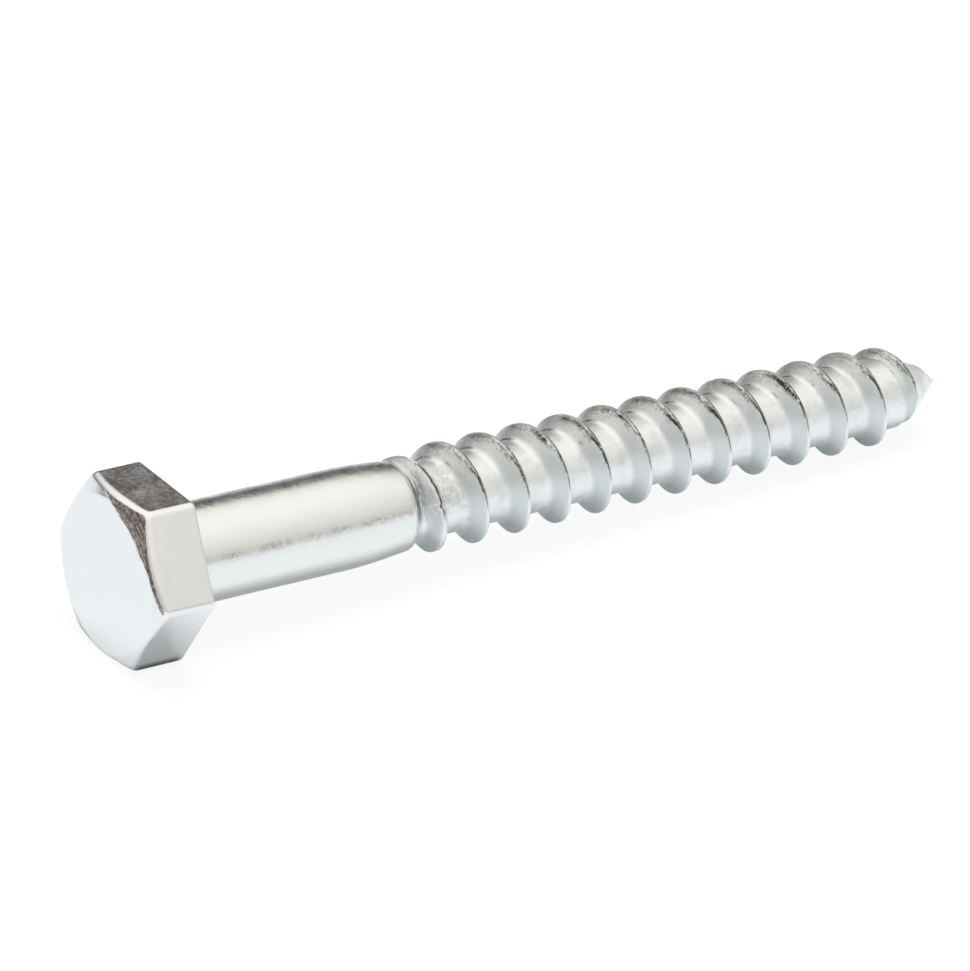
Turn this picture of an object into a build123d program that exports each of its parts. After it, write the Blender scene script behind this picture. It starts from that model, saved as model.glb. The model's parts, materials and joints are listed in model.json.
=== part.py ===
from build123d import *
from math import asin, atan2, ceil, cos, degrees, floor, hypot, pi, radians, sin, tan
import os

# One hex-head lag screw (coach screw), forged and thread-rolled from one piece of wire. Lengths are
# in mm and angles in degrees. The screw is drawn along its own axis: X runs from the head to the
# point, X = 0 is the bearing face under the head, and one flat of the head faces +Z. At the end it
# is laid down on the floor at Z = 0, the way it comes to rest.

# Head
across_flats = 12.7
head_height = 4.7
end_face_diameter = 11.7
chamfer_angle = 24.5
chamfer_shift_y = -0.09
chamfer_shift_z = -0.156
head_corner_radius = 0.3
bearing_edge_radius = 0.15
underhead_radius = 0.4

# Shank, straight first and then narrowing like a barrel to a short shoulder
shank_diameter = 7.5
shank_straight_length = 14.5
shank_length = 19.85
shank_end_diameter = 6.84
shoulder_length = 1.1

# Core of the threaded length, ending in a taper, a slimmer neck and a blunt cone
length_under_head = 70.6
root_diameter = 5.7
taper_length = 2.5
neck_diameter = 3.6
neck_length = 0.65
cone_diameter = 3.0
cone_length = 1.85

# Thread: one start, right-hand, coarse for wood. Each flank leans by its angle from a plane across
# the axis, the head-side one more. The crest rises out of the shank's end over the fade-in, narrows
# slightly towards the point, and sinks into the point over the fade-out.
pitch = 3.714
crest_width = 0.14
head_side_flank_angle = 43
point_side_flank_angle = 30
foot_sink = 0.4
crest_over_top = 24.85
thread_diameter = 8.0
thread_end_diameter = 7.66
full_thread_after_shank = 4.6
full_thread_before_end = 5.6
fade_in_length = 5.9
fade_out_length = 3.6
fade_out_sink = 0.1
spans_per_turn = 3
points_per_span = 3

# Places along X
shoulder_x = shank_length + shoulder_length
cone_x = length_under_head - cone_length
neck_x = cone_x - neck_length
taper_x = neck_x - taper_length
full_from_x = shank_length + full_thread_after_shank
full_to_x = length_under_head - full_thread_before_end
fade_in_x = full_from_x - fade_in_length
fade_out_x = full_to_x + fade_out_length


def full_crest_radius(x):
    """Radius of the ridge's crest at a place along X, as if it didn't fade."""
    share = (x - full_from_x) / (full_to_x - full_from_x)
    return (thread_diameter + (thread_end_diameter - thread_diameter) * share) / 2


def crest_radius(x):
    """Radius of the ridge's crest at a place along X: it fades in and out along parabolas."""
    fade_in_depth = (thread_diameter - root_diameter) / 2
    fade_out_depth = (thread_end_diameter - cone_diameter) / 2 + fade_out_sink
    before = max(0, full_from_x - x) / fade_in_length
    after = max(0, x - full_to_x) / fade_out_length
    return full_crest_radius(x) - fade_in_depth * before**2 - fade_out_depth * after**2


def core_radius(x):
    """Radius of the core under the ridge at a place along X, up to the point's cone."""
    if x < neck_x:
        share = max(0, x - taper_x) / taper_length
        return (root_diameter + (neck_diameter - root_diameter) * share) / 2
    share = (x - neck_x) / neck_length
    return (neck_diameter + (cone_diameter - neck_diameter) * share) / 2


def make_head():
    """Hexagon with rounded corners and a chamfer cone, slightly off centre as forged."""
    hexagon = Plane.YZ * RegularPolygon(across_flats / 2, 6, major_radius=False, rotation=0)
    prism = extrude(hexagon, -head_height)
    prism = fillet(prism.edges().filter_by(Axis.X), head_corner_radius)
    face_radius = end_face_diameter / 2
    cone_radius = face_radius + head_height / tan(radians(chamfer_angle))
    cone_section = make_face(
        Polyline((0, 0), (-head_height, 0), (-head_height, face_radius), (0, cone_radius), (0, 0))
    )
    cone = Pos(0, chamfer_shift_y, chamfer_shift_z) * revolve(cone_section, Axis.X)
    blank = prism & cone
    return fillet(blank.edges().group_by(Axis.X)[-1], bearing_edge_radius)


def make_core():
    """Everything round, turned about X: shank, shoulder, thread core and point."""
    shank_radius = shank_diameter / 2
    root_radius = root_diameter / 2
    inside_head = -head_height / 2
    collar = shank_radius + underhead_radius
    half_turn = underhead_radius * (1 - sin(radians(45)))
    outline = [
        Polyline(
            (length_under_head, 0),
            (inside_head, 0),
            (inside_head, collar),
            (0, collar),
            (half_turn, shank_radius + half_turn),
            (underhead_radius, shank_radius),
            (shank_straight_length, shank_radius),
        ),
        TangentArc(
            (shank_straight_length, shank_radius),
            (shank_length, shank_end_diameter / 2),
            tangent=(1, 0),
        ),
        Polyline(
            (shank_length, shank_end_diameter / 2),
            (shoulder_x, root_radius),
            (taper_x, root_radius),
            (neck_x, neck_diameter / 2),
            (cone_x, cone_diameter / 2),
            (length_under_head, 0),
        ),
    ]
    return revolve(make_face(outline), Axis.X)


def ridge_section(turn):
    """The ridge's four corners, a number of turns after the crest that stands over the top."""
    x = crest_over_top + pitch * turn
    crest = crest_radius(x)
    foot = core_radius(x) - foot_sink
    half_crest = crest_width / 2
    head_foot = -half_crest - (crest - foot) * tan(radians(head_side_flank_angle))
    point_foot = half_crest + (crest - foot) * tan(radians(point_side_flank_angle))
    corners = [(head_foot, foot), (-half_crest, crest), (half_crest, crest), (point_foot, foot)]
    angle = 2 * pi * turn
    return [Vector(x + dx, -r * sin(angle), r * cos(angle)) for dx, r in corners]


def ridge_edge(corner, turn_a, turn_b):
    """Smooth helical edge that one corner of the section follows between two turns."""
    step = (turn_b - turn_a) / points_per_span
    near = step / 100
    turns = [turn_a + step * i for i in range(points_per_span + 1)]
    points = [ridge_section(turn)[corner] for turn in turns]
    slopes = [
        (ridge_section(turn + near)[corner] - ridge_section(turn - near)[corner]) / (2 * near)
        for turn in (turn_a, turn_b)
    ]
    return Edge.make_spline(points, tangents=slopes, parameters=turns, scale=False)


def make_ridge():
    """Helical ridge, closed by faces in spans of part of a turn, with its foot inside the core."""
    first = (fade_in_x - crest_over_top) / pitch
    last = (fade_out_x - crest_over_top) / pitch
    whole = range(floor(first * spans_per_turn) + 1, ceil(last * spans_per_turn))
    stops = [first] + [k / spans_per_turn for k in whole] + [last]
    faces = []
    for turn_a, turn_b in zip(stops, stops[1:]):
        edges = [ridge_edge(corner, turn_a, turn_b) for corner in range(4)]
        faces += [Face.make_surface_from_curves(edges[i - 1], edges[i]) for i in range(4)]
    ends = [Face(Wire.make_polygon(ridge_section(turn))) for turn in (first, last)]
    return Solid(Shell(faces + ends))


def rest_tilt():
    """Angle by which the axis drops towards the point when the screw lies on the floor.

    The floor touches the head's rounded lower edge and, of the crests that come lowest once a turn,
    the one that it meets first.
    """
    angles = []
    for turn in range(ceil((full_to_x - crest_over_top) / pitch)):
        x = crest_over_top + pitch * (turn + 0.5)
        run = x + bearing_edge_radius
        drop = across_flats / 2 - bearing_edge_radius - crest_radius(x)
        angles.append(atan2(drop, run) + asin(bearing_edge_radius / hypot(run, drop)))
    return degrees(min(angles))


screw = make_core() + make_ridge() + make_head()
laid = Rotation(0, rest_tilt(), 0) * screw
box = laid.bounding_box()
laid = Pos(-box.center().X, -box.center().Y, -box.min.Z) * laid
laid.label = "lag_screw"

os.makedirs("parts", exist_ok=True)
export_step(laid, "parts/lag_screw.step")
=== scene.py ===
"""Looks of the lag screw: one zinc-plated piece, modelled in mm along its own axis and laid where
the CAD solid lies. X runs from the head to the point, X = 0 is the bearing face under the head, and
the angle round the axis starts at the flat on top and turns towards the front."""
import json
import math

import bpy
import numpy as np
from mathutils import Matrix, Vector, noise


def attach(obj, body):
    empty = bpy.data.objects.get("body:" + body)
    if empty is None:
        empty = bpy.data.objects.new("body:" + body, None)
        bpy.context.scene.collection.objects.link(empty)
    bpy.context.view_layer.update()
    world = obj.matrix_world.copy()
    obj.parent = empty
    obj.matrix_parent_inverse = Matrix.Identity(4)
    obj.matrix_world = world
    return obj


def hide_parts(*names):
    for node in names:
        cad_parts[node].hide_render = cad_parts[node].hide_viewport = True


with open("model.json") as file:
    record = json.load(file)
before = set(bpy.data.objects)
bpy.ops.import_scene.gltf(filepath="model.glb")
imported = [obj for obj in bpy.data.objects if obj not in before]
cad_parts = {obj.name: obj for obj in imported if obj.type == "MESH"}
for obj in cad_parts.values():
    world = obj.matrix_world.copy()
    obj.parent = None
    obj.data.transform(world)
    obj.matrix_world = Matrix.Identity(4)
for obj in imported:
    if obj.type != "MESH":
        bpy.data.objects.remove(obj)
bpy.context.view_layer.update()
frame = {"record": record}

MM = 0.001

# Head
ACROSS_FLATS = 12.7
HEAD_HEIGHT = 4.7
FACE_RADIUS = 5.85
CHAMFER_ANGLE = math.radians(24.5)
CHAMFER_SHIFT = np.array([-0.09, -0.156])
CORNER_RADIUS = 0.6
FACE_ROUND = 0.6
EDGE_ROUND = 0.62
EDGE_ROUND_LIMIT = 0.92  # the most of the chamfer that the round of its edge takes up
BEARING_ROUND = 0.25
UNDERHEAD_RADIUS = 0.42
FLAT_TURNS = [math.radians(60) * side for side in range(6)]
WAVES = ((0.02, 3.2, 1), (0.008, 1.1, 2))  # depth, size and seed of the forged faces' waves
BODY_WAVES = 0.7  # share of the waves on the shank and the thread

# Shank
SHANK_RADIUS = 3.75
SHANK_STRAIGHT = 14.5
SHANK_END = 19.75
SHANK_END_RADIUS = 3.42
SHANK_END_SLANT, SHANK_END_TURNS = 0.3, (1.4, 2.5, 4.5, 6.0)  # it ends later underneath
SHOULDER_LENGTH = 1.05
SHOULDER_OVERLAP = 0.05
SHANK_MOUNT_MIDDLE = 7.45

# Core and point
ROOT_RADIUS = 2.83
MID_CORE_X = 50
TAPER_X = 65.0
TAPER_BLEND = 0.2
NECK_X = 68.1
NECK_RADIUS = 1.8
CONE_X = 68.75
CONE_RADIUS = 1.5
TIP_X = 70.6
TIP_BLUNT = 0.02
POINT_SLOPE, POINT_LEAN, POINT_LEAN_TURN = 0.79, 0.13, 0.6
POINT_PINCH, POINT_PINCH_MIDDLE, POINT_FLATS, POINT_FLATS_TURN = 0.05, 0.03, 2.5, 0.4
POINT_BLEND = 0.12

# Thread
PITCH = 3.714
CREST_OVER_TOP = 24.85
THREAD_RADIUS = 4.0
THREAD_END_RADIUS = 3.83
HEAD_SIDE_SLOPE = 1.075
HEAD_SIDE_ROUND = 0.11
POINT_SIDE_SLOPE = 1.85
POINT_SIDE_ROUND = 0.24
FOOT_BLEND = 0.24
FULL_FROM = 24.4
FULL_TO = 65.0
FADE_IN, FADE_IN_DEPTH = 5.9, 1.15
FADE_OUT, FADE_OUT_DEPTH = 3.6, 2.43
STUB_X = (64.8, 65.7, 66.3, 67.0, 67.6, 68.4)  # the last turn's crest rises and falls unevenly
STUB_RISE = (0, -0.38, -0.2, 0.22, 0.2, 0)
NO_RIDGE = -5  # a radius that stays inside the core

# Faults of the crest. Its first turn, out of the shank, is the most ragged: a pair for more() is a
# size on the full thread, and what raggedness adds to it
RAGGED_X = (26, 20)
SWAY = 0.035
CREST_HALF_WIDTH = (0.07, 0.09)
DIP_DEPTH = (0.03, 0.05)
NICKS_DEPTH = (0.05, 0.07)
NICKS_FROM = (0.45, 0.95)  # how high crest_nicks() is where a nick starts and where it is full
NICK_AT, NICK_WIDTH, NICK_DEPTH = 46.2, 0.22, 0.24  # the one deep nick, along the crest
LAP_SHIFT, LAP_SWAY, LAP_WIDTH, LAP_DEPTH = 0.065, 0.03, 0.045, (0.03, 0.08)
TOP_BLEND = 0.05
CREST_LENGTH, TURN_LENGTH, LENGTH_FROM_X = 360, 25, 15  # in all, in a turn, and counted from where

# The mesh's rows and columns
FLAT_SEGMENTS = 24
FLAT_END_SHARE = 0.975  # one more column just before each corner
CORNER_SEGMENTS = 5
HEAD_ARC_STEPS = (3, 7, 5, 4)  # on the arcs of the head's profile, and between them:
HEAD_RUN_SHARES = (
    (0, 0.15, 0.3, 0.45, 0.6, 0.72, 0.82, 0.9, 0.96, 0.985),
    (0.1, 0.4, 0.7, 0.92),
    (0.02, 0.1, 0.25, 0.4, 0.55, 0.7, 0.85, 0.96),
    (0.03, 0.2, 0.4, 0.6, 0.8, 0.96),
    (0.05, 0.5, 1.0),
)
HEAD_ROWS_TO, SHANK_ROWS_FROM, SHANK_ROWS = 2.0, 2.4, 26
SCALE_REFLECTION_LAST_ROW = 19  # on the round between the chamfer and the flats
HELIX_FROM = 17.6
ROW_OFFSETS = (  # from the crest, closest together beside it
    -1.6, -1.38, -1.25, -1.15, -1.06, -0.97, -0.86, -0.7, -0.52, -0.36, -0.24, -0.15, -0.09,
    -0.045, -0.01, 0.03, 0.08, 0.14, 0.21, 0.3, 0.42, 0.56, 0.68, 0.77, 0.86, 0.98, 1.2, 1.5,
    PITCH / 2,
)
TIP_SHARES = (  # from the cone to the tip
    0.06, 0.14, 0.25, 0.4, 0.55, 0.7, 0.84, 0.93, 0.97, 0.985,
)
WELD_STEPS = 1e5  # to the mm: points that fall on the same step are one
NOISE_SHIFT = (13.7, 5.1, 9.3)


def wander(seed, length, step):
    """A smooth random line between -1 and 1 that can be read anywhere along a length."""
    rng = np.random.default_rng(seed)
    knots = np.arange(0, length + 3 * step, step)
    values = rng.uniform(-1, 1, len(knots))

    def read(at):
        place = np.clip((at + step) / step, 0, len(knots) - 1.001)
        low = place.astype(int)
        share = place - low
        share = share * share * (3 - 2 * share)
        return values[low] * (1 - share) + values[low + 1] * share

    return read


def ease(low, high, at):
    """0 on low's side, 1 on high's side, and smooth in between."""
    share = np.clip((at - low) / (high - low), 0, 1)
    return share * share * (3 - 2 * share)


def between(window, at):
    """1 inside a window of four places, 0 outside it, and smooth at its two ends."""
    return ease(window[0], window[1], at) * ease(window[3], window[2], at)


def line(at, width):
    """1 where at is 0, falling off smoothly to both sides over a width."""
    return np.exp(-((at / width) ** 2))


def more(pair, ragged):
    """A size that grows with raggedness."""
    return pair[0] + pair[1] * ragged


def bend(turn):
    """The angle round the axis between -pi and pi."""
    return (turn + math.pi) % (2 * math.pi) - math.pi


def smooth_max(a, b, width):
    """The larger of two lengths, with the valley where they meet rounded over a width."""
    near = np.maximum(width - np.abs(a - b), 0) / width
    return np.maximum(a, b) + near * near * width / 4


# ---------------------------------------------------------------- columns round the axis
def make_columns():
    """(angles, distances of the hexagon) round the axis, closer together over its corners."""
    inner = ACROSS_FLATS / 2 - CORNER_RADIUS
    half = inner * math.tan(math.radians(30))
    edge = math.atan2(half, ACROSS_FLATS / 2)
    shares = np.linspace(-1, 1, FLAT_SEGMENTS - 1)
    shares = np.sort(np.append(shares, [-FLAT_END_SHARE, FLAT_END_SHARE]))
    angles, reach = [], []
    for middle in FLAT_TURNS:
        for share in shares:
            angles.append(middle + edge * share)
            reach.append(ACROSS_FLATS / 2 / math.cos(edge * share))
        for k in range(1, CORNER_SEGMENTS):
            turn = math.radians(60) * k / CORNER_SEGMENTS
            out = inner + CORNER_RADIUS * math.cos(turn)
            along = half + CORNER_RADIUS * math.sin(turn)
            angles.append(middle + math.atan2(along, out))
            reach.append(math.hypot(along, out))
    start = int(np.argmin(np.abs(angles)))
    angles = np.roll(angles, -start)
    angles = np.where(angles < -1e-9, angles + 2 * math.pi, angles)
    return np.append(np.abs(angles), 2 * math.pi), np.append(np.roll(reach, -start), reach[start])


TURN, HEX = make_columns()
SIDE, UP = -np.sin(TURN), np.cos(TURN)


# ---------------------------------------------------------------- head
def rounded(corners, radii, arc_steps, run_shares):
    """Rows along a bent line, one line for each column, with arcs in place of its inner corners."""
    rows = []
    start = corners[0]
    for i in range(1, len(corners) - 1):
        back, ahead = corners[i - 1] - corners[i], corners[i + 1] - corners[i]
        back /= np.linalg.norm(back, axis=1, keepdims=True)
        ahead /= np.linalg.norm(ahead, axis=1, keepdims=True)
        half = np.arccos(np.clip((back * ahead).sum(1), -1, 1))[:, None] / 2
        radius = radii[i - 1]
        first = corners[i] + back * radius / np.tan(half)
        last = corners[i] + ahead * radius / np.tan(half)
        middle = back + ahead
        middle /= np.linalg.norm(middle, axis=1, keepdims=True)
        centre = corners[i] + middle * radius / np.sin(half)
        rows += [start + (first - start) * share for share in run_shares[i - 1]]
        sweep = math.pi - 2 * half
        for k in range(arc_steps[i - 1] + 1):
            share = k / arc_steps[i - 1]
            a = np.sin((1 - share) * sweep) / np.sin(sweep)
            b = np.sin(share * sweep) / np.sin(sweep)
            rows.append(centre + (first - centre) * a + (last - centre) * b)
        start = last
    rows += [start + (corners[-1] - start) * share for share in run_shares[-1]]
    return rows


def head_rows():
    """(x, radius) rows from the middle of the end face, over the edge, to the start of the shank."""
    shift = SIDE * CHAMFER_SHIFT[0] + UP * CHAMFER_SHIFT[1]
    face = shift + np.sqrt(FACE_RADIUS**2 - CHAMFER_SHIFT @ CHAMFER_SHIFT + shift**2)
    edge = np.hypot(HEX * SIDE - CHAMFER_SHIFT[0], HEX * UP - CHAMFER_SHIFT[1])
    edge_x = -HEAD_HEIGHT + (edge - FACE_RADIUS) * math.tan(CHAMFER_ANGLE)
    run = (HEX - face) / math.cos(CHAMFER_ANGLE) - FACE_ROUND * math.tan(CHAMFER_ANGLE / 2)
    limit = EDGE_ROUND_LIMIT * run / math.tan(math.radians(45) - CHAMFER_ANGLE / 2)
    edge_round = np.minimum(EDGE_ROUND, limit)
    zero = np.zeros_like(HEX)
    points = [
        (zero - HEAD_HEIGHT, zero),
        (zero - HEAD_HEIGHT, face),
        (edge_x, HEX),
        (zero, HEX),
        (zero, zero + SHANK_RADIUS),
        (zero + HEAD_ROWS_TO, zero + SHANK_RADIUS),
    ]
    corners = [np.stack(p, 1) for p in points]
    radii = (FACE_ROUND, edge_round[:, None], BEARING_ROUND, UNDERHEAD_RADIUS)
    return rounded(corners, radii, HEAD_ARC_STEPS, HEAD_RUN_SHARES)


# ---------------------------------------------------------------- shank, thread and point
def core_radius(x, turn):
    """Radius without the thread: straight shank, barrel, shoulder, core, taper and neck."""
    barrel = np.clip((x - SHANK_STRAIGHT) / (SHANK_END - SHANK_STRAIGHT), 0, 1)
    radius = SHANK_RADIUS - (SHANK_RADIUS - SHANK_END_RADIUS) * barrel**2
    end = SHANK_END + SHANK_END_SLANT * between(SHANK_END_TURNS, turn)
    shoulder = ease(end - SHOULDER_OVERLAP, end + SHOULDER_LENGTH, x)
    radius = radius - (SHANK_END_RADIUS - ROOT_RADIUS) * shoulder
    taper = smooth_max(
        ROOT_RADIUS - (ROOT_RADIUS - NECK_RADIUS) * (x - TAPER_X) / (NECK_X - TAPER_X),
        NECK_RADIUS - (NECK_RADIUS - CONE_RADIUS) * (x - NECK_X) / (CONE_X - NECK_X),
        TAPER_BLEND,
    )
    return np.where(x < MID_CORE_X, radius, np.minimum(taper, ROOT_RADIUS))


def point_radius(x, turn):
    """Radius of the point: a cone pinched into a few flats and leaning a little to one side."""
    slope = POINT_SLOPE + POINT_LEAN * np.cos(turn + POINT_LEAN_TURN)
    pinch = np.abs(np.sin(POINT_FLATS * turn + POINT_FLATS_TURN))
    return np.maximum(TIP_X - x, 0) * slope * (1 + POINT_PINCH * pinch - POINT_PINCH_MIDDLE)


# What varies along the crest, read by the length of crest up to a place
crest_dips = wander(11, CREST_LENGTH, 1.3)
crest_nicks = wander(12, CREST_LENGTH, 0.35)
crest_sway = wander(13, CREST_LENGTH, 2.1)
lap_sway = wander(14, CREST_LENGTH, 0.9)
lap_depth = wander(15, CREST_LENGTH, 0.6)
scale_patches = wander(16, CREST_LENGTH, 1.7)


def crest_radius(x):
    """Radius over the crest, which fades in out of the shank and out into the point."""
    before = np.maximum(0, FULL_FROM - x) / FADE_IN
    after = np.maximum(0, x - FULL_TO) / FADE_OUT
    share = (x - FULL_FROM) / (FULL_TO - FULL_FROM)
    full = THREAD_RADIUS + (THREAD_END_RADIUS - THREAD_RADIUS) * share
    stub = np.interp(x, STUB_X, STUB_RISE)
    return full - FADE_IN_DEPTH * before**2 - FADE_OUT_DEPTH * after**2 + stub


def along_crest(x, turn):
    """(distance along X from the nearest crest, length of crest up to there)."""
    turns = (x - CREST_OVER_TOP) / PITCH - turn / (2 * math.pi)
    offset = (turns - np.round(turns)) * PITCH
    return offset, (x - offset - LENGTH_FROM_X) / PITCH * TURN_LENGTH


def body_radius(x, turn):
    """Radius of the core and the thread together. The thread's faults only lower its crest."""
    offset, length = along_crest(x, turn)
    at = x - offset
    ragged = ease(*RAGGED_X, at)
    crest = crest_radius(at)
    away = offset - SWAY * crest_sway(length)
    lap = line(away - LAP_SHIFT - LAP_SWAY * lap_sway(length), LAP_WIDTH)
    blunt = np.where(away < 0, HEAD_SIDE_ROUND, POINT_SIDE_ROUND)
    slope = np.where(away < 0, HEAD_SIDE_SLOPE, POINT_SIDE_SLOPE)
    away = np.maximum(np.abs(away) - more(CREST_HALF_WIDTH, ragged), 0) * slope
    ridge = crest - np.hypot(away, blunt) + blunt
    top = crest - more(DIP_DEPTH, ragged) * (0.5 + 0.5 * crest_dips(length))
    top = top - more(NICKS_DEPTH, ragged) * ease(*NICKS_FROM, crest_nicks(length))
    top = top - NICK_DEPTH * line(length - NICK_AT, NICK_WIDTH)
    top = top - more(LAP_DEPTH, ragged) * lap * (0.5 + 0.5 * lap_depth(length))
    ridge = -smooth_max(-ridge, -top, TOP_BLEND)
    shown = (at > FULL_FROM - FADE_IN) & (at < FULL_TO + FADE_OUT)
    ridge = np.where(shown, ridge, NO_RIDGE)
    body = smooth_max(core_radius(x, turn), ridge, FOOT_BLEND)
    return -smooth_max(-body, -point_radius(x, turn), POINT_BLEND)


def body_rows():
    """(x, radius) rows: even ones along the shank, helical ones over the thread, and the point."""
    places = [np.full_like(TURN, x) for x in np.linspace(SHANK_ROWS_FROM, HELIX_FROM, SHANK_ROWS)]
    first = math.floor((HELIX_FROM - PITCH - CREST_OVER_TOP) / PITCH) - 1
    last = math.ceil((CONE_X - CREST_OVER_TOP) / PITCH) + 1
    for k in range(first, last + 1):
        for offset in ROW_OFFSETS:
            start = CREST_OVER_TOP + PITCH * k + offset
            if HELIX_FROM - PITCH < start < CONE_X:
                x = start + PITCH * TURN / (2 * math.pi)
                places.append(np.clip(x, HELIX_FROM, CONE_X))
    places.append(np.full_like(TURN, CONE_X))
    places += [np.full_like(TURN, CONE_X + (TIP_X - CONE_X) * share) for share in TIP_SHARES]
    rows = [np.stack([x, body_radius(x, TURN)], 1) for x in places]
    rows.append(np.stack([np.full_like(TURN, TIP_X - TIP_BLUNT), np.zeros_like(TURN)], 1))
    return rows


# ---------------------------------------------------------------- one closed mesh
def weld(points, faces):
    """Merges points that coincide and drops the faces that this closes up."""
    keys = np.round(points * WELD_STEPS).astype(np.int64)
    _, first, index = np.unique(keys, axis=0, return_index=True, return_inverse=True)
    index = index.reshape(-1)
    kept = []
    for face in index[faces].tolist():
        ring = [v for i, v in enumerate(face) if v != face[i - 1]]
        if len(ring) > 2:
            kept.append(ring)
    return points[first], kept, first


def make_mesh():
    """(points in mm, faces, row and angle of each point, which points are on the head)."""
    head = head_rows()
    rows = np.stack(head + body_rows())
    x, radius = rows[..., 0], rows[..., 1]
    count, wide = x.shape
    points = np.stack([x, radius * SIDE, radius * UP], -1).reshape(-1, 3)
    i, c = np.meshgrid(np.arange(count - 1), np.arange(wide - 1), indexing="ij")
    corner = (i * wide + c).reshape(-1)
    faces = np.stack([corner, corner + 1, corner + wide + 1, corner + wide], 1)
    row = np.repeat(np.arange(count), wide)
    turn = np.tile(TURN, count)
    points, faces, first = weld(points, faces)
    on_head = row[first] < len(head) - len(HEAD_RUN_SHARES[-1])
    return points, faces, row[first], turn[first], on_head


def noise_at(points, size, seed):
    """Smooth noise between about -1 and 1 over points, with bumps of a size."""
    shift = Vector([seed * step for step in NOISE_SHIFT])
    return np.array([noise.noise(Vector(p) / size + shift) for p in points])


points, faces, row, turn, on_head = make_mesh()
mesh = bpy.data.meshes.new("lag_screw_skin")
mesh.from_pydata((points * MM).tolist(), [], faces)
mesh.validate()
mesh.update()
normals = np.array([v.normal for v in mesh.vertices])
waves = sum(depth * noise_at(points, size, seed) for depth, size, seed in WAVES)
points = points + normals * np.where(on_head, waves, BODY_WAVES * waves)[:, None]

# The screw lies where the CAD solid lies, along its shank mount
mount = next(m for m in frame["record"]["mounts"] if m["name"] == "shank")
along = Vector(mount["axis"]).normalized()
across = Vector((0, 1, 0))
origin = Vector(mount["pos_m"]) - along * SHANK_MOUNT_MIDDLE * MM
laid = points * MM @ np.array([along, across, along.cross(across)]) + np.array(origin)
mesh.vertices.foreach_set("co", laid.ravel())

# ---------------------------------------------------------------- marks that the material reads
# Four places are a window: where a mark starts, is full, is full no longer, and has ended. A pair
# is where ease() goes from 0 to 1. TURNS are angles round the axis in radians, X is mm along the
# screw, and OFFSET and FLANK are mm along it from the nearest crest
POLISHED_CENTRE, POLISHED_RADIUS = (4.93, -8.15), 14.7  # the part of the head without scale or painted dark reflection
POLISHED_EDGE = (-0.08, 0.1)
# Scale on the head's front chamfer and flat, partly a painted dark reflection
SCALE_REFLECTION_TURNS = (-0.45, -0.2, 1.52, 1.62)
STRIP_DEPTH, STRIP_FROM = (0.62, 0.42), (0.8, 1.0)  # strip of scale and painted dark reflection along the front flat
THREAD_FROM_X, MARKS_END_X = (20.0, 20.7), (69, 66)
FLANK_FOOT, FLANK_TOP, FLANK_WORN, FLANK_END_X = (-1.15, -0.85), (-0.03, -0.14), 0.1, (69.5, 68.3)
# scale beside the crests, partly a painted dark reflection
CREST_SCALE_REFLECTION_TURNS, CREST_SCALE_REFLECTION_MORE_X = (-0.9, -0.5, 1.05, 1.3), (45, 58)
# where the lap on the crest gets painted shade
LAP_SHADE_TURNS, LAP_SHADE_WIDE_TURNS = (-0.1, 0.4, 1.25, 1.6), (0.1, 0.4, 0.8, 1.1)
# painted shade in the crease at the flank's foot
CREASE_OFFSET, CREASE_SWAY, CREASE_WIDTH = -1.14, 0.05, 0.085
CREASE_TURNS = (-1.0, -0.85, -0.45, -0.1)
# painted shade along a fainter second crease line in front
SECOND_CREASE_SHADE_OFFSET, SECOND_CREASE_SHADE_SWAY, SECOND_CREASE_SHADE_WIDTH = -0.95, 0.12, 0.05
SECOND_CREASE_SHADE_TURNS = (0.1, 0.25, 0.5, 0.75)
# painted shadow along the head's lower front edge, near the floor
LOWER_EDGE_SHADOW_TURNS, LOWER_EDGE_SHADOW_X = (2.49, 2.56, 2.62, 2.68), (-4.15, -3.95, -0.5, -0.3)
GROOVE_X, GROOVE_SWAY, GROOVE_WIDTH = 19.98, 0.1, 0.09
SCORED_X, TORN_TURNS = (19.7, 19.95, 20.4, 21.3), (0.15, 0.6, 1.4, 1.75)
FLAT_MOTTLE = np.array([1.0, 0.0, 0.0, 0.5, 0.6, 0.7])  # how mottled each flat of the head is
FLAT_LEAN = (0.985, 0.998)
SHANK_X = (0.3, 1.0, 19.3, 19.8)
BAND_TURNS = (-0.9, -0.5, -0.02, 0.18)
SPECKLED_TURN, SPECKLED_WIDTH = 1.22, 0.07
# painted shade on the upper part of the flank
UPPER_FLANK_SHADE_TURNS = (-1.1, -0.7, -0.2, 0.4)
FIRST_RIDGE_SHARE, FIRST_RIDGE_TURNS = (0.45, 0.62), (1.9, 1.5)
FIRST_ROOT_X, FIRST_ROOT_TURNS = (25.5, 24.0), (0.1, 0.5, 1.3, 1.7)


def crest_scale_and_reflection(x, at_turn, offset, length, ragged):
    """Dull scale beside the crest, partly a painted dark reflection: broad over the top, narrow in
    front, worn off the first ridge.
    """
    narrowing = ease(0.45, 0.9, at_turn)
    widening = ease(0.15, -0.5, at_turn)
    middle = 0.26 - 0.2 * narrowing + 0.14 * widening
    width = 0.27 - 0.17 * narrowing + 0.14 * widening
    patchy = 0.7 + 0.3 * ease(-0.6, 0.4, scale_patches(length))
    patchy = patchy * (1 - 0.8 * ease(0.3, 0.7, ragged))
    patchy = patchy * (0.71 + 0.08 * ease(*CREST_SCALE_REFLECTION_MORE_X, x) + 0.17 * ease(0.0, 0.4, at_turn))
    return line(offset + middle, width) * between(CREST_SCALE_REFLECTION_TURNS, at_turn) * patchy


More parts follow.
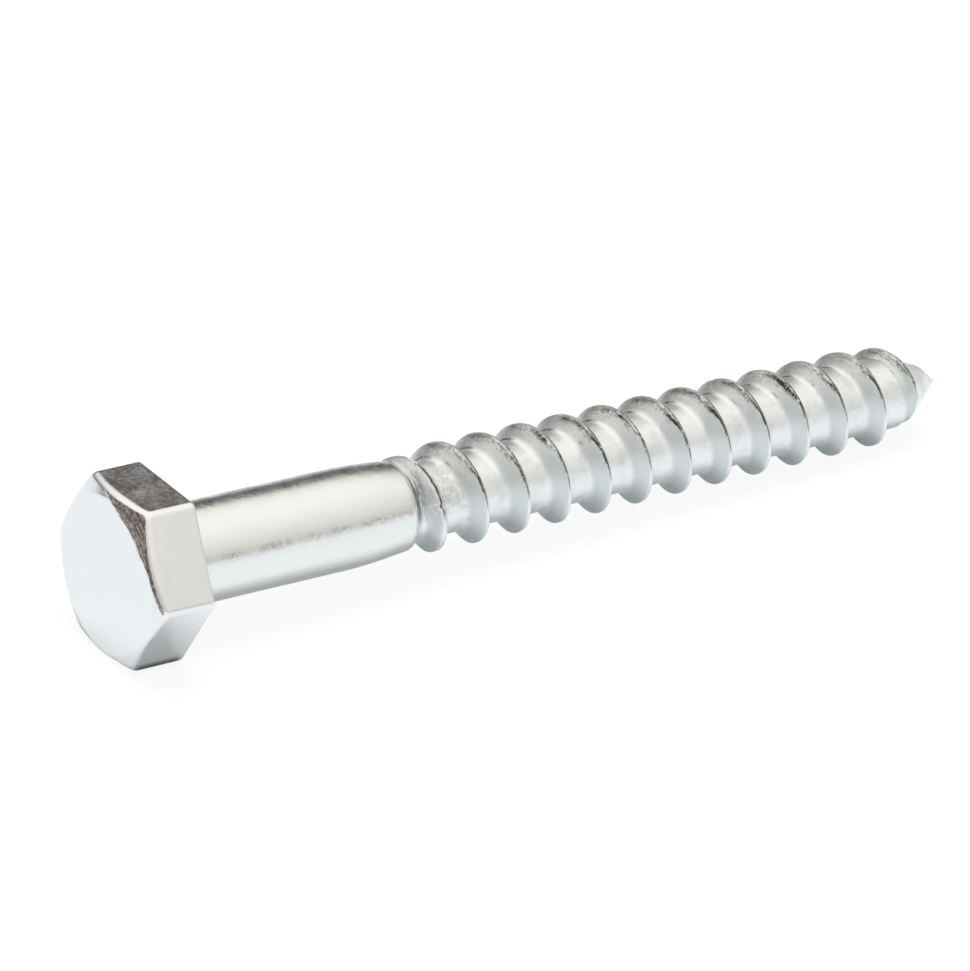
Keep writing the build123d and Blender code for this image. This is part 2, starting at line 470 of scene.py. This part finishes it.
def painted_shade_lines(at_turn, offset, length, ragged):
    """Painted shade of the thread: in the lap on its crest, in the crease at its foot, and along a
    fainter second crease line in front.
    """
    width = 0.07 + 0.03 * between(LAP_SHADE_WIDE_TURNS, at_turn) + 0.02 * ragged
    lap = line(offset - LAP_SHIFT, width) * between(LAP_SHADE_TURNS, at_turn)
    lap = lap * (0.85 + 0.25 * np.maximum(lap_depth(length), ragged))
    crease = line(offset - CREASE_OFFSET + CREASE_SWAY * lap_sway(length), CREASE_WIDTH)
    crease = crease * between(CREASE_TURNS, at_turn)
    crease = crease * (0.8 + 0.3 * ease(-0.5, 0.4, lap_depth(length)))
    second_crease_shade = line(offset - SECOND_CREASE_SHADE_OFFSET + SECOND_CREASE_SHADE_SWAY * lap_sway(length), SECOND_CREASE_SHADE_WIDTH)
    second_crease_shade = 0.6 * second_crease_shade * between(SECOND_CREASE_SHADE_TURNS, at_turn) * ease(-0.1, 0.5, lap_depth(length))
    return np.maximum(lap, np.maximum(crease, second_crease_shade))


def make_marks():
    """(marks, mottling and painted shade) of each point: scale with painted dark reflection, painted
    shade lines and shadow, torn shank end and the flank's darker colour, then mottling with painted
    shade on the upper flanks.
    """
    x, at_turn = points[:, 0], bend(turn)
    offset, length = along_crest(x, turn)
    ragged = ease(*RAGGED_X, x)
    threaded = ease(*THREAD_FROM_X, x)
    before_point = threaded * ease(*MARKS_END_X, x)
    outward = [np.array([0, -math.sin(flat), math.cos(flat)]) for flat in FLAT_TURNS]
    depth = ACROSS_FLATS / 2 - np.max([points @ out for out in outward], axis=0)
    distance = np.hypot(points[:, 1] - POLISHED_CENTRE[0], points[:, 2] - POLISHED_CENTRE[1])

    # scale on the head, partly a painted dark reflection
    scale = np.maximum(
        ease(*POLISHED_EDGE, distance - POLISHED_RADIUS),
        ease(*STRIP_DEPTH, depth) * ease(*STRIP_FROM, at_turn),
    )
    scale = scale * between(SCALE_REFLECTION_TURNS, at_turn) * (row <= SCALE_REFLECTION_LAST_ROW)
    # scale beside the crests, partly a painted dark reflection
    on_crest = crest_scale_and_reflection(x, at_turn, offset, length, ragged)
    scale = np.maximum(scale, before_point * on_crest)

    # painted shade in the laps and creases
    lap = before_point * painted_shade_lines(at_turn, offset, length, ragged)
    # painted shadow along the head's lower front edge
    lower_edge_shadow = between(LOWER_EDGE_SHADOW_TURNS, at_turn) * between(LOWER_EDGE_SHADOW_X, x)
    lap = np.maximum(lap, 0.8 * lower_edge_shadow)

    groove = line(x - GROOVE_X - GROOVE_SWAY * lap_sway(at_turn * 4), GROOVE_WIDTH)
    torn = np.maximum(groove, 0.8 * between(SCORED_X, x)) * between(TORN_TURNS, at_turn)

    flank = ease(*FLANK_FOOT, offset) * ease(*FLANK_TOP, offset + FLANK_WORN * ragged)
    flank = flank * ease(*FLANK_END_X, x)
    # the flank towards the head: a duller finish, its darker colour partly painted shade
    satin_and_shade = threaded * (0.5 + 0.5 * flank)

    lean = np.stack([normals @ out for out in outward])
    on_flats = (ease(*FLAT_LEAN, lean) * FLAT_MOTTLE[:, None]).max(axis=0) * on_head
    blotchy = ease(-0.8, 0.3, scale_patches(x * 1.3))
    band = 0.85 * between(BAND_TURNS, at_turn) * (0.5 + 0.5 * blotchy)
    speckled = 0.7 * line(at_turn - SPECKLED_TURN, SPECKLED_WIDTH) * blotchy
    on_shank = between(SHANK_X, x) * np.maximum(band, speckled)
    # painted shade on the upper flanks, carried with the mottling
    upper_flank_shade = 0.5 * flank * before_point * between(UPPER_FLANK_SHADE_TURNS, at_turn)
    first_ridge = flank * threaded * ease(*FIRST_RIDGE_SHARE, ragged)
    first_ridge = first_ridge * ease(*FIRST_RIDGE_TURNS, at_turn)
    first_root = threaded * ease(*FIRST_ROOT_X, x) * between(FIRST_ROOT_TURNS, at_turn)
    first_turn = 0.35 * np.maximum(first_ridge, first_root)
    mottle_and_shade = np.max([on_flats, on_shank, upper_flank_shade, first_turn], axis=0)
    return np.stack([scale, lap, torn, satin_and_shade], 1), mottle_and_shade


marks, mottle_and_shade = make_marks()
mesh.attributes.new("marks", "FLOAT_COLOR", "POINT").data.foreach_set("color", marks.ravel())
mesh.attributes.new("mottle_and_shade", "FLOAT", "POINT").data.foreach_set("value", mottle_and_shade)
place = mesh.attributes.new("place", "FLOAT_VECTOR", "POINT")
place.data.foreach_set("vector", (points * MM).ravel())
mesh.shade_smooth()


def put_in_scene(name, data):
    """A new object in the scene."""
    made = bpy.data.objects.new(name, data)
    bpy.context.scene.collection.objects.link(made)
    return made


screw = put_in_scene("lag_screw_skin", mesh)


# ---------------------------------------------------------------- zinc plating
CLEAN_DULL, CLEAN_BRIGHT = (0.875, 0.89, 0.90), (0.895, 0.91, 0.92)
SHANK_CLEAN = (0.868, 0.888, 0.882)
ROOT_COOL, ROOT_GREY = (0.90, 0.93, 0.94), (0.77, 0.79, 0.79)
# the flank's darker colour is partly painted shade
FLANK_DULL_AND_SHADED = (0.70, 0.745, 0.75)
# mottling, which on the upper flanks is painted shade
BLOTCH_AND_SHADE = (0.37, 0.345, 0.345)
# colours of the scale and the worn scale, partly a painted dark reflection
SCALE_REFLECTION_DARK, SCALE_REFLECTION_PALE = (0.10, 0.075, 0.07), (0.58, 0.53, 0.52)
WORN_REFLECTION_DARK, WORN_REFLECTION_PALE = (0.075, 0.06, 0.054), (0.50, 0.49, 0.48)
# painted shade for the laps and creases, and the dark of the scored shank end
SHADE_AND_SCORE_DARK = (0.03, 0.027, 0.025)
BUMP_STRENGTH, BUMP_DISTANCE = 0.4, 0.04 * MM
HEAD_TO_SHANK, SHANK_TO_THREAD = (0.0, 0.5 * MM), (19.5 * MM, 20.5 * MM)  # along X

# Noises: how fine, how much detail, and how rough where that isn't the usual
GRAIN = (4200.0, 2.0)
PITS = (9000.0, 1.0)
PATCHES = (800.0, 3.0)
SMUDGE = (700.0, 4.0, 0.65)
CLOUD = (500.0, 2.0)
SPECKLE = (3400.0, 3.0, 0.75)
SWELL = (1700.0, 2.0)
STREAKS, STREAK_TIGHT, STREAK_LONG = (900.0, 3.0, 0.6), 9.0, 0.8


def node(tree, kind, inputs=(), **settings):
    """A new node with its settings, and its inputs either set or linked."""
    made = tree.nodes.new(kind)
    for name, value in settings.items():
        setattr(made, name, value)
    for name, value in inputs:
        if isinstance(value, bpy.types.NodeSocket):
            tree.links.new(value, made.inputs[name])
        else:
            made.inputs[name].default_value = value
    return made


def mixed(tree, factor, a, b):
    """A colour mix of two values, each a colour or an output."""
    made = node(tree, "ShaderNodeMix", [("Factor", factor)], data_type="RGBA")
    for name, value in (("A", a), ("B", b)):
        if isinstance(value, bpy.types.NodeSocket):
            tree.links.new(value, made.inputs[name])
        else:
            made.inputs[name].default_value = (*value, 1)
    return made.outputs["Result"]


def combined(tree, operation, a, b, c=0.0, clamp=False):
    """One step of arithmetic on values or outputs."""
    inputs = [(0, a), (1, b), (2, c)]
    made = node(tree, "ShaderNodeMath", inputs, operation=operation, use_clamp=clamp)
    return made.outputs[0]


def spread(tree, value, low, high, to_low=0.0, to_high=1.0):
    """A value stretched from one range to another, and held to it."""
    ranges = [("From Min", low), ("From Max", high), ("To Min", to_low), ("To Max", to_high)]
    return node(tree, "ShaderNodeMapRange", [("Value", value), *ranges]).outputs["Result"]


def noise_node(tree, place, scale, detail, roughness=0.55):
    """Noise over a place, finer the larger its scale."""
    inputs = [("Vector", place), ("Scale", scale), ("Detail", detail), ("Roughness", roughness)]
    return node(tree, "ShaderNodeTexNoise", inputs).outputs["Fac"]


def attribute(tree, name):
    """The node that reads one of the mesh's attributes."""
    return node(tree, "ShaderNodeAttribute", attribute_name=name)


def streak_noise(tree, axes):
    """Streaks round the axis: noise stretched along the circle and tight across it."""
    x, y, z = (axes.outputs[name] for name in "XYZ")
    squares = combined(
        tree, "ADD", combined(tree, "MULTIPLY", y, y), combined(tree, "MULTIPLY", z, z)
    )
    ring = combined(tree, "POWER", squares, 0.5)
    across = node(
        tree, "ShaderNodeCombineXYZ",
        [
            ("X", combined(tree, "MULTIPLY", ring, STREAK_TIGHT)),
            ("Y", combined(tree, "MULTIPLY", y, STREAK_LONG)),
            ("Z", combined(tree, "MULTIPLY", x, STREAK_TIGHT)),
        ],
    ).outputs[0]
    return noise_node(tree, across, *STREAKS)


def make_zinc():
    """Bright zinc plating: fine grain, mottling, dull scale that is partly a painted dark reflection
    on the chamfer and crests, and painted shade in the laps and creases, along the head's lower edge
    and on the flanks.
    """
    material = bpy.data.materials.new("zinc_plated_steel")
    material.use_nodes = True
    tree = material.node_tree
    shader = tree.nodes["Principled BSDF"]
    place = attribute(tree, "place").outputs["Vector"]
    marks = attribute(tree, "marks")
    split = node(tree, "ShaderNodeSeparateColor", [("Color", marks.outputs["Color"])])
    scale, lap, torn = (split.outputs[name] for name in ("Red", "Green", "Blue"))
    thread = marks.outputs["Alpha"]
    mottled_and_shaded = attribute(tree, "mottle_and_shade").outputs["Fac"]
    axes = node(tree, "ShaderNodeSeparateXYZ", [("Vector", place)])
    x = axes.outputs["X"]

    noises = (GRAIN, PITS, PATCHES, SMUDGE, CLOUD, SPECKLE, SWELL)
    grain, pits, patches, smudge, cloud, speckle, swell = (
        noise_node(tree, place, *settings) for settings in noises
    )
    streaks = streak_noise(tree, axes)

    # Clean plating: head, then shank, then the thread's root and its flank towards the head, whose
    # darker colour is partly painted shade
    clean = mixed(tree, spread(tree, patches, 0.35, 0.65), CLEAN_DULL, CLEAN_BRIGHT)
    clean = mixed(tree, spread(tree, x, *HEAD_TO_SHANK), clean, SHANK_CLEAN)
    core = mixed(tree, spread(tree, smudge, 0.5, 0.68), ROOT_COOL, ROOT_GREY)
    clean = mixed(tree, spread(tree, thread, 0.0, 0.5), clean, core)
    clean = mixed(tree, spread(tree, thread, 0.5, 1.0), clean, FLANK_DULL_AND_SHADED)
    # mottling, which on the upper flanks is painted shade
    speckle = combined(tree, "MULTIPLY_ADD", cloud, 0.6, speckle)
    speckle = spread(tree, speckle, 0.95, 0.68)
    blotch_and_shade = combined(tree, "MULTIPLY", mottled_and_shaded, speckle, clamp=True)
    clean = mixed(tree, blotch_and_shade, clean, BLOTCH_AND_SHADE)

    # Scale, partly a painted dark reflection: streaked on the head, flecked along the crests
    shade = combined(tree, "MULTIPLY_ADD", spread(tree, grain, 0.3, 0.7), 0.3, streaks)
    burnt_and_reflection = mixed(tree, spread(tree, shade, 0.5, 0.85), SCALE_REFLECTION_DARK, SCALE_REFLECTION_PALE)
    flecks = spread(tree, streaks, 0.3, 0.7, 0.0, 0.4)
    flecks = combined(tree, "MULTIPLY_ADD", pits, 0.8, flecks)
    flecks = combined(tree, "MULTIPLY_ADD", scale, -1.2, flecks)
    worn = mixed(tree, spread(tree, flecks, -0.3, -0.04), WORN_REFLECTION_DARK, WORN_REFLECTION_PALE)
    burnt_and_reflection = mixed(tree, spread(tree, thread, 0.0, 0.5), burnt_and_reflection, worn)
    fringe = combined(tree, "MULTIPLY_ADD", grain, 1.0, scale)
    fringe = combined(tree, "MULTIPLY_ADD", pits, 0.8, fringe)
    fringe = combined(tree, "MULTIPLY_ADD", streaks, 1.8, fringe)
    cover = spread(tree, fringe, 2.15, 2.5)
    cover = combined(tree, "MULTIPLY", cover, spread(tree, scale, 0.0, 0.15), clamp=True)
    base = mixed(tree, cover, clean, burnt_and_reflection)

    # Dark lines: painted shade in the laps and creases, painted shadow along the head's lower edge,
    # and the scored end of the shank
    broken_shade = combined(tree, "MULTIPLY", lap, spread(tree, grain, 0.25, 0.42), clamp=True)
    base = mixed(tree, broken_shade, base, SHADE_AND_SCORE_DARK)
    scored = spread(tree, streaks, 0.45, 0.54, 0.0, 0.95)
    scored = combined(tree, "MULTIPLY", torn, scored, clamp=True)
    base = mixed(tree, scored, base, SHADE_AND_SCORE_DARK)
    tree.links.new(base, shader.inputs["Base Color"])
    shader.inputs["Metallic"].default_value = 1.0

    polish = spread(tree, patches, 0.3, 0.7, 0.18, 0.26)
    polish = combined(tree, "MULTIPLY_ADD", spread(tree, thread, 0.0, 0.5), 0.2, polish)
    rough = combined(tree, "MULTIPLY_ADD", cover, 0.3, polish)
    tree.links.new(rough, shader.inputs["Roughness"])

    # Relief: least on the head, more on the shank and most on the thread, with pits where it is
    # mottled and streaks where it is torn or covered in scale
    height = combined(tree, "MULTIPLY_ADD", pits, 0.8, grain)
    height = combined(tree, "MULTIPLY_ADD", swell, 0.25, height)
    depth = combined(
        tree, "ADD",
        spread(tree, x, *HEAD_TO_SHANK, 0.3, 0.55), spread(tree, x, *SHANK_TO_THREAD, 0.0, 0.45),
    )
    uneven = combined(tree, "MULTIPLY", spread(tree, patches, 0.46, 0.62, 0.6, 1.2), depth)
    height = combined(tree, "MULTIPLY", height, uneven)
    pitted = combined(tree, "MULTIPLY", mottled_and_shaded, spread(tree, x, *HEAD_TO_SHANK, 0.0, 1.2))
    height = combined(tree, "MULTIPLY_ADD", pits, pitted, height)
    streaked = combined(tree, "MULTIPLY", streaks, combined(tree, "MAXIMUM", torn, scale))
    height = combined(tree, "MULTIPLY_ADD", streaked, 3.0, height)
    relief = [("Height", height), ("Strength", BUMP_STRENGTH), ("Distance", BUMP_DISTANCE)]
    bump = node(tree, "ShaderNodeBump", relief)
    tree.links.new(bump.outputs["Normal"], shader.inputs["Normal"])
    return material


mesh.materials.append(make_zinc())
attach(screw, "root")
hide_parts("lag_screw")

# ---------------------------------------------------------------- camera
AIM = Vector((-4.122, 0.573, 4.811)) * MM
DISTANCE = 0.4961
AZIMUTH, ELEVATION, ROLL = math.radians(-36.601), math.radians(28.151), math.radians(3.964)
LENS, SENSOR_WIDTH, CLIP_START = 249.256, 36, 0.01
camera = put_in_scene("camera", bpy.data.cameras.new("camera"))
back = Vector((
    math.sin(AZIMUTH) * math.cos(ELEVATION),
    -math.cos(AZIMUTH) * math.cos(ELEVATION),
    math.sin(ELEVATION),
))
level_view = (-back).to_track_quat("-Z", "Y")
camera.rotation_mode = "QUATERNION"
camera.location = AIM + back * DISTANCE
camera.rotation_quaternion = level_view @ Matrix.Rotation(ROLL, 3, "Z").to_quaternion()
camera.data.lens = LENS
camera.data.sensor_width = SENSOR_WIDTH
camera.data.clip_start = CLIP_START
bpy.context.scene.camera = camera
bpy.context.scene.view_settings.view_transform = "Standard"


# ---------------------------------------------------------------- studio
WORLD_LEVEL, WORLD_TINT = 0.34, (0.93, 1.0, 1.03)
FLOOR_SIZE, FLOOR_COLOUR = 4.0, (0.92, 0.92, 0.92, 1)
FLOOR_LIGHT = 1.04  # a little past white, so that it still shows as white
FLOOR_SEEN, FLOOR_IN_GLOSS = 0.86, 0.12  # share of that light in the picture and in gloss
WALL_TINT = (1.03, 1, 0.955)
ROOM_RADIUS = 2.0
ROOM_AZIMUTHS, ROOM_ELEVATIONS = (-180, 180, 4), (-2, 91, 2)  # from, to and step in degrees
LAMP_AZIMUTH, LAMP_ELEVATION, LAMP_SIZE, LAMP_POWER, LAMP_DISTANCE = 90, 84, 0.9, 11.2, 1.2


def towards(azimuth, elevation):
    """The direction at an azimuth and an elevation in degrees."""
    a, e = math.radians(azimuth), math.radians(elevation)
    return Vector((math.cos(a) * math.cos(e), math.sin(a) * math.cos(e), math.sin(e)))


def gloss_rays(tree, path):
    """1 for rays that metal or glass sends on, 0 for the rest."""
    return combined(
        tree, "MAXIMUM", path.outputs["Is Glossy Ray"], path.outputs["Is Transmission Ray"]
    )


def new_material(name):
    """A material with nothing but its output."""
    material = bpy.data.materials.new(name)
    material.use_nodes = True
    material.node_tree.nodes.remove(material.node_tree.nodes["Principled BSDF"])
    return material


def set_surface(tree, shader):
    """Makes a shader the surface of its material."""
    tree.links.new(shader.outputs[0], tree.nodes["Material Output"].inputs["Surface"])


def make_world():
    """White for the camera and for gloss, and a dim bluish light for the rest."""
    world = bpy.data.worlds.new("studio")
    bpy.context.scene.world = world
    world.use_nodes = True
    tree = world.node_tree
    path = node(tree, "ShaderNodeLightPath")
    seen = combined(tree, "MAXIMUM", path.outputs["Is Camera Ray"], gloss_rays(tree, path))
    shade = node(tree, "ShaderNodeMix", [("Factor", seen)], data_type="FLOAT")
    shade.inputs["A"].default_value = WORLD_LEVEL
    shade.inputs["B"].default_value = 1.0
    background = tree.nodes["Background"]
    tree.links.new(mixed(tree, seen, WORLD_TINT, (1, 1, 1)), background.inputs["Color"])
    tree.links.new(shade.outputs["Result"], background.inputs["Strength"])


def make_floor():
    """A pale floor that is nearly white to the camera, keeps the shadow, and is dark in gloss."""
    mesh = bpy.data.meshes.new("floor")
    corners = [(x * FLOOR_SIZE, y * FLOOR_SIZE, 0) for x, y in ((-1, -1), (1, -1), (1, 1), (-1, 1))]
    mesh.from_pydata(corners, [], [(0, 1, 2, 3)])
    floor = put_in_scene("floor", mesh)
    material = new_material("pale_floor")
    tree = material.node_tree
    lit = node(tree, "ShaderNodeBsdfDiffuse", [("Color", FLOOR_COLOUR)])
    own = node(tree, "ShaderNodeEmission", [("Strength", FLOOR_LIGHT)])
    path = node(tree, "ShaderNodeLightPath")
    faint = combined(tree, "MULTIPLY", gloss_rays(tree, path), FLOOR_IN_GLOSS)
    seen = path.outputs["Is Camera Ray"]
    share = combined(tree, "MULTIPLY_ADD", seen, FLOOR_SEEN, faint)
    shaders = [(0, share), (1, lit.outputs[0]), (2, own.outputs[0])]
    set_surface(tree, node(tree, "ShaderNodeMixShader", shaders))
    mesh.materials.append(material)


WALL_ELEVATIONS = (0, 5, 10, 15, 20, 25, 30, 35, 40, 46, 53, 60)
LEFT_WALL = (0.20, 0.20, 0.28, 0.40, 0.47, 0.52, 0.58, 0.70, 0.85, 1.00, 1.04, 1.04)
FRONT_WALL = (0.60, 0.60, 0.62, 0.68, 0.77, 0.81, 0.84, 0.87, 0.91, 0.95, 1.02, 1.04)
WALLS = (
    # azimuth, and how bright the studio is there at each of the elevations above
    (-180, LEFT_WALL),
    (-150, (0.45, 0.47, 0.50, 0.55, 0.62, 0.70, 0.78, 0.86, 0.94, 1.00, 1.04, 1.04)),
    (-110, FRONT_WALL),
    (-35, FRONT_WALL),
    (-15, (0.60, 0.60, 0.62, 0.66, 0.72, 0.76, 0.80, 0.87, 0.92, 0.98, 1.02, 1.04)),
    (10, (0.60, 0.62, 0.66, 0.70, 0.72, 0.74, 0.76, 0.80, 0.88, 0.96, 1.02, 1.04)),
    (28, (0.55, 0.56, 0.58, 0.60, 0.60, 0.60, 0.60, 0.65, 0.82, 0.95, 1.02, 1.04)),
    (38, (0.50, 0.45, 0.28, 0.16, 0.15, 0.17, 0.24, 0.52, 0.80, 0.95, 1.02, 1.04)),
    (44, (0.48, 0.42, 0.24, 0.14, 0.15, 0.16, 0.22, 0.50, 0.80, 0.95, 1.02, 1.04)),
    (53, (0.12, 0.12, 0.13, 0.14, 0.15, 0.16, 0.22, 0.50, 0.80, 0.95, 1.02, 1.04)),
    (75, (0.10, 0.12, 0.15, 0.18, 0.21, 0.27, 0.45, 0.78, 0.95, 1.02, 1.04, 1.04)),
    (100, (0.12, 0.13, 0.20, 0.32, 0.42, 0.55, 0.80, 0.98, 1.04, 1.04, 1.04, 1.04)),
    (135, (0.12, 0.13, 0.25, 0.42, 0.48, 0.55, 0.78, 0.98, 1.04, 1.04, 1.04, 1.04)),
    (160, (0.14, 0.15, 0.25, 0.42, 0.48, 0.55, 0.65, 0.80, 0.92, 1.02, 1.04, 1.04)),
    (180, LEFT_WALL),
)


def wall_level(azimuth, elevation):
    """How bright the studio is in a direction: grey walls, dark far ones, and a white top."""
    levels = [np.interp(elevation, WALL_ELEVATIONS, wall) for _, wall in WALLS]
    return np.interp(azimuth, [wall_azimuth for wall_azimuth, _ in WALLS], levels)


def make_room():
    """The room round the object, which only shows in its gloss."""
    azimuths, elevations = np.arange(*ROOM_AZIMUTHS), np.arange(*ROOM_ELEVATIONS)
    points, colours, faces = [], [], []
    for elevation in elevations:
        for azimuth in azimuths:
            points.append(towards(azimuth, elevation) * ROOM_RADIUS)
            level = wall_level(azimuth, elevation)
            colours.append((*(tint * level for tint in WALL_TINT), 1))
    wide = len(azimuths)
    for i in range(len(elevations) - 1):
        for c in range(wide):
            d = (c + 1) % wide
            faces.append((i * wide + c, i * wide + d, (i + 1) * wide + d, (i + 1) * wide + c))
    mesh = bpy.data.meshes.new("studio_room")
    mesh.from_pydata(points, [], faces)
    levels = mesh.attributes.new("level", "FLOAT_COLOR", "POINT")
    levels.data.foreach_set("color", np.array(colours).ravel())
    room = put_in_scene("studio_room", mesh)
    material = new_material("studio_room")
    tree = material.node_tree
    colour = attribute(tree, "level").outputs["Color"]
    set_surface(tree, node(tree, "ShaderNodeEmission", [("Color", colour), ("Strength", 1.0)]))
    mesh.materials.append(material)
    room.visible_camera = False
    room.visible_diffuse = False
    room.visible_shadow = False


def make_lamp():
    """A large soft lamp overhead, which doesn't show in the gloss."""
    data = bpy.data.lights.new("top_light", "AREA")
    data.shape, data.size, data.energy = "DISK", LAMP_SIZE, LAMP_POWER
    lamp = put_in_scene("top_light", data)
    upward = towards(LAMP_AZIMUTH, LAMP_ELEVATION)
    lamp.location = upward * LAMP_DISTANCE
    lamp.rotation_mode = "QUATERNION"
    lamp.rotation_quaternion = upward.to_track_quat("Z", "Y")
    lamp.visible_glossy = False


make_world()
make_floor()
make_room()
make_lamp()
